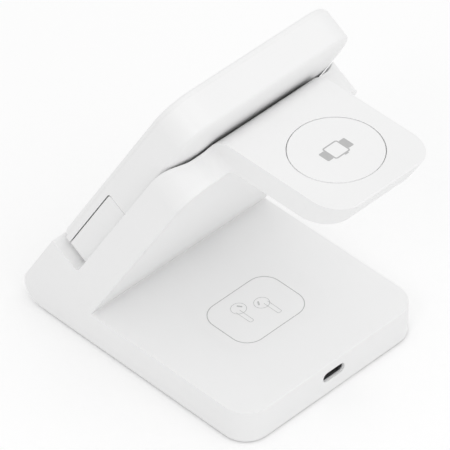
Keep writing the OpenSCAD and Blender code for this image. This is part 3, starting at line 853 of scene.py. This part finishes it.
def printed(name, shape, material, origin):
    """Gives the flat shape the thickness of ink and lays it down at the origin given."""
    bmesh.ops.recalc_face_normals(shape, faces=shape.faces)
    lifted = bmesh.ops.extrude_face_region(shape, geom=shape.faces[:])
    bmesh.ops.translate(shape, vec=(0, 0, INK), verts=verts_of(lifted))
    piece = finished(name, shape, Matrix.Translation(origin))
    piece.data.materials.append(material)
    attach(piece, "stand")
    print(name, "faces", len(piece.data.polygons))


grey_ink = ink_material("grey_ink", GREY)
pale_ink = ink_material("pale_ink", PALE)
print("inks", grey_ink.name, pale_ink.name)

# %% [markdown]
# The watch sign is a square dial with a stub of strap on two sides and a crown. Its place could be
# typed in, but the middle of the disc's top is known from the node's box, so it stays on the disc.
# %% Watch sign
DIAL = 6.3 * MM
DIAL_R = 0.9 * MM
DIAL_LINE = 0.5 * MM
STRAP_W = 4.3 * MM
STRAP_L = 2.3 * MM
STRAP_R = 0.4 * MM
KNOB_W = 0.45 * MM
KNOB_L = 1.6 * MM
KNOB_R = 0.15 * MM

disc_low, disc_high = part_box("watch_disc")
disc_middle = Vector(((disc_low.x + disc_high.x) / 2, (disc_low.y + disc_high.y) / 2, disc_high.z))
watch_sign = bmesh.new()
as_line(watch_sign, sign_face(watch_sign, DIAL, DIAL, DIAL_R), DIAL_LINE)
for side in (-1, 1):
    strap = sign_face(watch_sign, STRAP_L, STRAP_W, STRAP_R)
    moved(watch_sign, strap, (side * (DIAL + STRAP_L) / 2, 0, 0))
knob = sign_face(watch_sign, KNOB_L, KNOB_W, KNOB_R)
moved(watch_sign, knob, (-DIAL / 6, (DIAL + KNOB_W) / 2, 0))
printed("watch_sign", watch_sign, grey_ink, disc_middle)

# %% [markdown]
# The frame in the dish shows where an earbud case goes. The dish's flat floor lies one wall above
# the coil under it, so its place comes from the coil's box.
# %% Earbud frame
WALL = 2.2 * MM
FRAME_W = 29.3 * MM
FRAME_D = 21.6 * MM
FRAME_R = 6.4 * MM

coil_low, coil_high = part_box("earbud_coil")
dish_middle = Vector(((coil_low.x + coil_high.x) / 2, (coil_low.y + coil_high.y) / 2,
                      coil_high.z + WALL))
earbud_frame = bmesh.new()
as_line(earbud_frame, sign_face(earbud_frame, FRAME_W, FRAME_D, FRAME_R), OUTLINE)
printed("earbud_frame", earbud_frame, grey_ink, dish_middle)

# %% [markdown]
# Each earbud is a round head with a stem, drawn as one fine line with a short bar for the speaker.
# The line of the stem that runs under the head is taken away, so that the two read as one outline.
# %% Earbud sign
HEAD_W = 5.4 * MM
HEAD_D = 5.0 * MM
STEM_W = 1.8 * MM
STEM_L = 7.2 * MM
STEM_R = 0.7 * MM
STEM_CUTS = 3
BAR_W = 0.6 * MM
BAR_L = 1.8 * MM
BAR_R = 0.2 * MM
BAR_TURN = 0.6
BUD_GAP = 3.5 * MM
BUD_SHIFT = 1.6 * MM


def under_head(face):
    """Whether the middle of the face lies inside the oval of the head."""
    centre = face.calc_center_median()
    in_oval = (2 * centre.x / HEAD_W) ** 2 + (2 * centre.y / HEAD_D) ** 2 < 1
    return in_oval and centre.length < STEM_L


def earbud(shape, place, lean):
    head = as_line(shape, round_face(shape, HEAD_W, HEAD_D), FINE_LINE)
    stem = as_line(shape, sign_face(shape, STEM_W, STEM_L, STEM_R), FINE_LINE)
    moved(shape, stem, (lean * HEAD_W / 5, STEM_L / 2, 0))
    stem_edges = list({e for f in stem for e in f.edges})
    bmesh.ops.subdivide_edges(shape, edges=stem_edges, cuts=STEM_CUTS)
    hidden = [f for f in shape.faces if f not in head and under_head(f)]
    bmesh.ops.delete(shape, geom=hidden, context="FACES")
    bar = sign_face(shape, BAR_W, BAR_L, BAR_R)
    moved(shape, bar, (-lean * HEAD_W / 6, -HEAD_D / 10, 0), lean * BAR_TURN)
    bmesh.ops.translate(shape, vec=place, verts=shape.verts)


for side in (-1, 1):
    bud = bmesh.new()
    earbud(bud, (side * BUD_GAP, -HEAD_D / 2 - side * BUD_SHIFT, 0), side)
    printed("earbud_sign_" + ("left" if side < 0 else "right"), bud, pale_ink, dish_middle)
